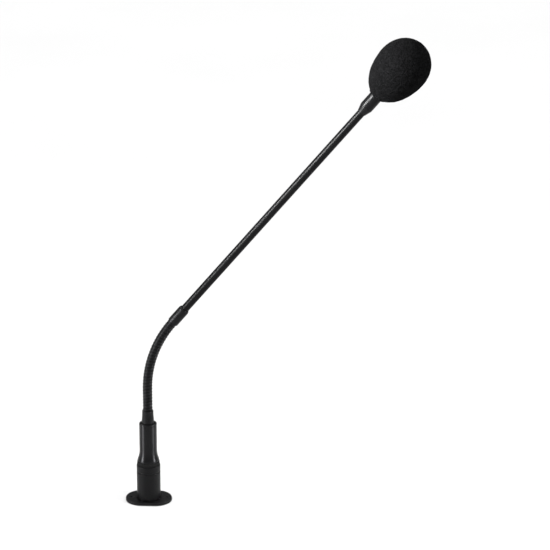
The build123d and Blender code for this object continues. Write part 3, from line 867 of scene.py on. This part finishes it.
def open_pores(mesh):
    """Sinks pores into the surface, and keeps their depth at each vertex for the material's painted
    shade in the pores.
    """
    normals = [vertex.normal.copy() for vertex in mesh.vertices]
    depths = []
    for vertex, normal in zip(mesh.vertices, normals):
        depth = pore_depth(vertex.co)
        lumps = noise.fractal(vertex.co / LUMP_SIZE, 0.7, 2.0, LUMP_OCTAVES)
        grit = noise.noise(vertex.co / GRIT_SIZE)
        vertex.co += normal * (LUMP_HEIGHT * lumps + GRIT_HEIGHT * grit - PORE_DEPTH * depth)
        depths.append(depth)
    # the depth drives the painted shade that darkens the foam's colour in its pores
    mesh.attributes.new("pore", "FLOAT", "POINT").data.foreach_set("value", depths)
    mesh.set_sharp_from_angle(angle=math.pi)


foam = turned("windscreen_foam", arm.point, foam_outline(), segments=FOAM_SEGMENTS, closed=False)
open_pores(foam.data)
stand_for(foam, "windscreen", "foam", "foam_windscreen")


# ---------------------------------------------------------------- floor, lights and camera

FLOOR_HALF = 6.0
HOLE_HALF_LENGTH = 17.5 * MM
HOLE_HALF_WIDTH = 12.3 * MM
HOLE_SIDES = 64

CAMERA_AZIMUTH = math.radians(2.4)
CAMERA_ELEVATION = math.radians(22.0)
CAMERA_DISTANCE = 3.0
FRAME_SHARE = 0.88
SENSOR_WIDTH = 36.0

WORLD_STRENGTH = 0.06


def pale_floor():
    """A pale panel with a hidden hole under the flange, for the socket's barrel."""
    hole = []
    rim = []
    for i in range(HOLE_SIDES):
        a = 2 * math.pi * i / HOLE_SIDES
        shift = HOLE_HALF_LENGTH - HOLE_HALF_WIDTH
        x = HOLE_HALF_WIDTH * math.cos(a) + shift * (1 if math.cos(a) > 0 else -1)
        y = HOLE_HALF_WIDTH * math.sin(a)
        scale = FLOOR_HALF / max(abs(x), abs(y))
        hole.append((x, y, 0.0))
        rim.append((x * scale, y * scale, 0.0))
    faces = []
    for i in range(HOLE_SIDES):
        j = (i + 1) % HOLE_SIDES
        faces.append([i, i + HOLE_SIDES, j + HOLE_SIDES, j])
    floor = new_mesh("floor", hole + rim, faces)
    m = Material("floor_paper", (0.72, 0.72, 0.72), 0.75)
    m.vary_colour(m.noise(0.25, detail=3), (0.3, (0.71, 0.71, 0.71)), (0.7, (0.73, 0.73, 0.73)))
    floor.data.materials.append(m.data)


def aim(item, where, direction):
    """Puts a camera or a lamp in the scene, looking along direction."""
    item.location = where
    item.rotation_mode = "QUATERNION"
    item.rotation_quaternion = direction.to_track_quat("-Z", "Y")
    bpy.context.scene.collection.objects.link(item)


def add_camera():
    """Looks from the front and a little above, with the object filling the frame."""
    a, e = CAMERA_AZIMUTH, CAMERA_ELEVATION
    back = Vector((math.sin(a) * math.cos(e), -math.cos(a) * math.cos(e), math.sin(e)))
    low = Vector((cad_low.x, cad_low.y, 0.0))
    centre = (low + cad_high) / 2
    seen_height = (cad_high.z - low.z) * math.cos(e) + (cad_high.y - low.y) * math.sin(e)
    data = bpy.data.cameras.new("camera")
    data.sensor_width = SENSOR_WIDTH
    data.lens = SENSOR_WIDTH * CAMERA_DISTANCE / (seen_height / FRAME_SHARE)
    data.clip_start = 0.05
    data.clip_end = 50
    camera = bpy.data.objects.new("camera", data)
    aim(camera, centre + back * CAMERA_DISTANCE, -back)
    bpy.context.scene.camera = camera


def add_softbox(name, where, target, size, power, spread=180.0):
    """An area light, its size in metres and its spread in degrees."""
    data = bpy.data.lights.new(name, "AREA")
    data.shape = "RECTANGLE"
    data.size, data.size_y = size
    data.energy = power
    data.spread = math.radians(spread)
    lamp = bpy.data.objects.new(name, data)
    aim(lamp, where, Vector(target) - Vector(where))


def add_world():
    """A faint white surround, which lifts the shadows."""
    world = bpy.data.worlds.new("studio")
    world.use_nodes = True
    background = world.node_tree.nodes["Background"]
    background.inputs["Color"].default_value = (1, 1, 1, 1)
    background.inputs["Strength"].default_value = WORLD_STRENGTH
    bpy.context.scene.world = world


pale_floor()
add_camera()
add_softbox("key_left", (-1.3, -0.62, 0.22), (0.09, 0.0, 0.26), (0.4, 0.36), 2, spread=40.0)
add_softbox("key_head", (-0.7, -0.42, 0.66), (0.19, 0.0, 0.355), (0.3, 0.3), 1.2, spread=25.0)
add_softbox("strip_right", (1.1, -0.32, 0.32), (0.0, 0.0, 0.06), (0.08, 0.5), 0.27, spread=14.0)
add_softbox("top", (0.0, 0.8, 3.0), (0.0, 0.8, 0.0), (7.0, 7.0), 332)
add_world()
bpy.context.scene.view_settings.view_transform = "Standard"
